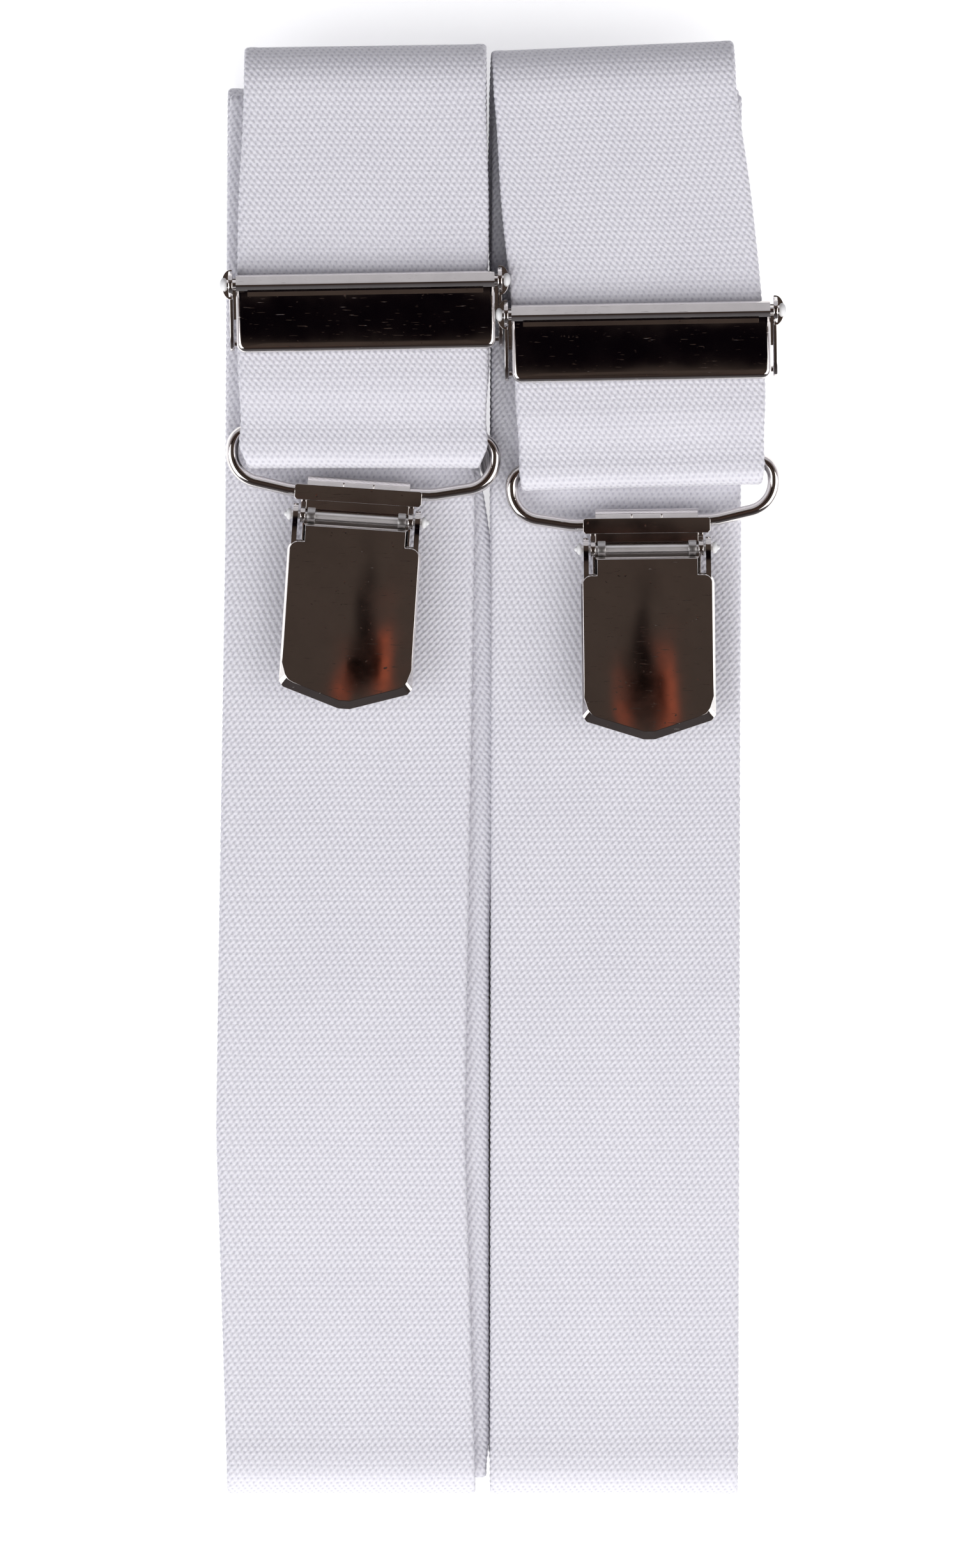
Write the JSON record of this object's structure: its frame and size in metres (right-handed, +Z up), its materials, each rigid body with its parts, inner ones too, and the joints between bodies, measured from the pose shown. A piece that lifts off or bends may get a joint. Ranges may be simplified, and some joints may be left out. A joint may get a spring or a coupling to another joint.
{
  "type": "suspenders",
  "caption": "Elastic webbing suspenders with a sewn back crossing patch, adjuster slides and chrome lever clips on wire rings, folded into a flat bundle.",
  "frame": {"origin": "middle of the folded bundle, on the surface that it lies on", "axes": "+Y up the folded straps towards the top folds, +X across from the left strap to the right strap, +Z up from the surface that the bundle lies on"},
  "size_m": [0.0798, 0.2048, 0.0227],
  "materials": {
    "white_webbing": "woven elastic, matt",
    "patch_leather": "smooth grained, matt",
    "polished_chrome": "polished",
    "jaw_steel": "plain nickel-plated",
    "grip_rubber": "matt"
  },
  "bodies": {
    "webbing": {"left_strap": "white_webbing", "right_strap": "white_webbing", "back_patch_inner": "patch_leather", "back_patch_outer": "patch_leather"},
    "front_left_ring": {"front_left_ring": "polished_chrome"},
    "front_left_clip": {"front_left_clip_body": "polished_chrome", "front_left_clip_pin": "polished_chrome", "front_left_clip_pad": "grip_rubber"},
    "front_left_lever": {"front_left_clip_lever": "polished_chrome"},
    "front_left_jaw": {"front_left_clip_jaw": "jaw_steel"},
    "front_right_ring": {"front_right_ring": "polished_chrome"},
    "front_right_clip": {"front_right_clip_body": "polished_chrome", "front_right_clip_pin": "polished_chrome", "front_right_clip_pad": "grip_rubber"},
    "front_right_lever": {"front_right_clip_lever": "polished_chrome"},
    "front_right_jaw": {"front_right_clip_jaw": "jaw_steel"},
    "rear_left_ring": {"rear_left_ring": "polished_chrome"},
    "rear_left_clip": {"rear_left_clip_body": "polished_chrome", "rear_left_clip_pin": "polished_chrome", "rear_left_clip_pad": "grip_rubber"},
    "rear_left_lever": {"rear_left_clip_lever": "polished_chrome"},
    "rear_left_jaw": {"rear_left_clip_jaw": "jaw_steel"},
    "rear_right_ring": {"rear_right_ring": "polished_chrome"},
    "rear_right_clip": {"rear_right_clip_body": "polished_chrome", "rear_right_clip_pin": "polished_chrome", "rear_right_clip_pad": "grip_rubber"},
    "rear_right_lever": {"rear_right_clip_lever": "polished_chrome"},
    "rear_right_jaw": {"rear_right_clip_jaw": "jaw_steel"},
    "left_slide": {"left_slide_frame": "polished_chrome", "left_slide_pin": "polished_chrome", "left_strap_end": "white_webbing"},
    "left_flap": {"left_slide_flap": "polished_chrome"},
    "right_slide": {"right_slide_frame": "polished_chrome", "right_slide_pin": "polished_chrome", "right_strap_end": "white_webbing"},
    "right_flap": {"right_slide_flap": "polished_chrome"}
  },
  "joints": [
    {"name": "front_left_ring_swing", "type": "hinge", "parent": "webbing", "child": "front_left_ring", "pos_m": [-0.01904, 0.04703, 0.0162], "axis": [-0.9993, 0.0365, 0], "range_deg": [0, 45]},
    {"name": "front_left_clip_swing", "type": "hinge", "parent": "front_left_ring", "child": "front_left_clip", "pos_m": [-0.01984, 0.03886, 0.0162], "axis": [-0.9978, 0.0663, 0], "range_deg": [0, 25]},
    {"name": "front_left_lever_lift", "type": "hinge", "parent": "front_left_clip", "child": "front_left_lever", "pos_m": [-0.02008, 0.03517, 0.0176], "axis": [-0.9978, 0.0663, 0], "range_deg": [0, 75]},
    {"name": "front_left_jaw_open", "type": "hinge", "parent": "front_left_clip", "child": "front_left_jaw", "pos_m": [-0.02008, 0.03517, 0.0176], "axis": [-0.9978, 0.0663, 0], "range_deg": [0, 4]},
    {"name": "front_right_ring_swing", "type": "hinge", "parent": "webbing", "child": "front_right_ring", "pos_m": [0.01986, 0.04283, 0.0162], "axis": [-0.9991, -0.0417, 0], "range_deg": [0, 45]},
    {"name": "front_right_clip_swing", "type": "hinge", "parent": "front_right_ring", "child": "front_right_clip", "pos_m": [0.02051, 0.03465, 0.0162], "axis": [-0.9999, -0.0122, 0], "range_deg": [0, 25]},
    {"name": "front_right_lever_lift", "type": "hinge", "parent": "front_right_clip", "child": "front_right_lever", "pos_m": [0.02055, 0.03095, 0.0176], "axis": [-0.9999, -0.0122, 0], "range_deg": [0, 75]},
    {"name": "front_right_jaw_open", "type": "hinge", "parent": "front_right_clip", "child": "front_right_jaw", "pos_m": [0.02055, 0.03095, 0.0176], "axis": [-0.9999, -0.0122, 0], "range_deg": [0, 4]},
    {"name": "rear_left_ring_swing", "type": "hinge", "parent": "webbing", "child": "rear_left_ring", "pos_m": [-0.01944, 0.02243, 0.0036], "axis": [0.9998, 0.0211, 0], "range_deg": [0, 45]},
    {"name": "rear_left_clip_swing", "type": "hinge", "parent": "rear_left_ring", "child": "rear_left_clip", "pos_m": [-0.01926, 0.01424, 0.0036], "axis": [0.9991, 0.0419, 0], "range_deg": [0, 25]},
    {"name": "rear_left_lever_lift", "type": "hinge", "parent": "rear_left_clip", "child": "rear_left_lever", "pos_m": [-0.01911, 0.01054, 0.0022], "axis": [0.9991, 0.0419, 0], "range_deg": [0, 75]},
    {"name": "rear_left_jaw_open", "type": "hinge", "parent": "rear_left_clip", "child": "rear_left_jaw", "pos_m": [-0.01911, 0.01054, 0.0022], "axis": [0.9991, 0.0419, 0], "range_deg": [0, 4]},
    {"name": "rear_right_ring_swing", "type": "hinge", "parent": "webbing", "child": "rear_right_ring", "pos_m": [0.01626, 0.04683, 0.0036], "axis": [0.9999, -0.0137, 0], "range_deg": [0, 45]},
    {"name": "rear_right_clip_swing", "type": "hinge", "parent": "rear_right_ring", "child": "rear_right_clip", "pos_m": [0.01615, 0.03864, 0.0036], "axis": [0.9994, -0.0349, 0], "range_deg": [0, 25]},
    {"name": "rear_right_lever_lift", "type": "hinge", "parent": "rear_right_clip", "child": "rear_right_lever", "pos_m": [0.01602, 0.03494, 0.0022], "axis": [0.9994, -0.0349, 0], "range_deg": [0, 75]},
    {"name": "rear_right_jaw_open", "type": "hinge", "parent": "rear_right_clip", "child": "rear_right_jaw", "pos_m": [0.01602, 0.03494, 0.0022], "axis": [0.9994, -0.0349, 0], "range_deg": [0, 4]},
    {"name": "left_slide_travel", "type": "slide", "parent": "webbing", "child": "left_slide", "axis": [-0.0665, 0.9978, 0], "range_m": [0, 0.015]},
    {"name": "left_flap_lift", "type": "hinge", "parent": "left_slide", "child": "left_flap", "pos_m": [-0.01884, 0.06803, 0.0209], "axis": [-0.9998, -0.0175, 0], "range_deg": [0, 75]},
    {"name": "right_slide_travel", "type": "slide", "parent": "webbing", "child": "right_slide", "axis": [-0.06, 0.9982, 0], "range_m": [-0.004, 0]},
    {"name": "right_flap_lift", "type": "hinge", "parent": "right_slide", "child": "right_flap", "pos_m": [0.01961, 0.06383, 0.0209], "axis": [-0.9998, -0.0175, 0], "range_deg": [0, 75]}
  ]
}
